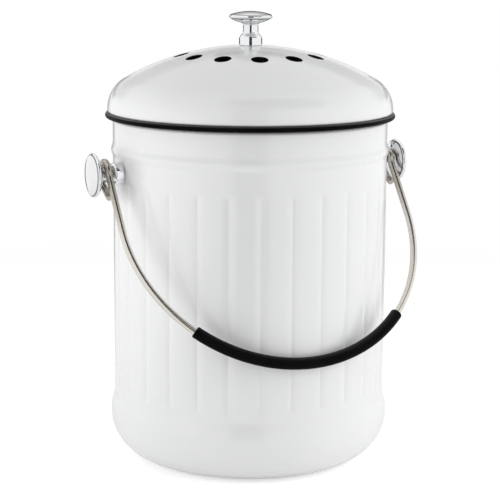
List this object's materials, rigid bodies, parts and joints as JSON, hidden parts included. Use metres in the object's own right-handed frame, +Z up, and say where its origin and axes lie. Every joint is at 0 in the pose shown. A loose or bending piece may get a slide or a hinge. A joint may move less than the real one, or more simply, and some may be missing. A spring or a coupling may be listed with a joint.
{
  "type": "compost bin",
  "caption": "Kitchen compost bin: reeded enamelled steel bin with a swinging wire bail on side knobs, and a vented domed lid with a seal and a twist-off charcoal filter.",
  "frame": {"origin": "middle of the flat base, on the surface that the bin stands on", "axes": "+Z up along the bin's axis, +X through the right side knob along the bail's axis, -Y towards the front, where the bail lies at rest"},
  "size_m": [0.2126, 0.183, 0.2796],
  "materials": {
    "enamel": "white gloss enamel",
    "chrome": "polished",
    "fastener": "satin",
    "wire": "satin",
    "seal_rubber": "satin",
    "grip_rubber": "satin",
    "filter_plastic": "matte",
    "charcoal": "open foam"
  },
  "bodies": {
    "bin": {"bin_body": "enamel", "left_side_knob": "chrome", "right_side_knob": "chrome", "left_knob_screw": "fastener", "right_knob_screw": "fastener", "left_knob_washer": "fastener", "right_knob_washer": "fastener", "left_knob_gasket": "seal_rubber", "right_knob_gasket": "seal_rubber"},
    "bail": {"bail_wire": "wire", "bail_grip": "grip_rubber"},
    "lid": {"lid_shell": "enamel", "lid_seal": "seal_rubber", "lid_knob": "chrome", "lid_knob_screw": "fastener", "lid_knob_washer": "fastener", "filter_housing": "filter_plastic", "charcoal_filter": "charcoal"},
    "cover": {"filter_cover": "filter_plastic"}
  },
  "joints": [
    {"name": "bail_swing", "type": "hinge", "parent": "bin", "child": "bail", "pos_m": [0, 0, 0.1827], "axis": [-1, 0, 0], "range_deg": [0, 279.3]},
    {"name": "lid_lift", "type": "slide", "parent": "bin", "child": "lid", "axis": [0, 0, 1], "range_m": [0, 0.1]},
    {"name": "cover_twist", "type": "hinge", "parent": "lid", "child": "cover", "pos_m": [0, 0, 0.2265], "axis": [0, 0, 1], "range_deg": [0, 24]}
  ]
}
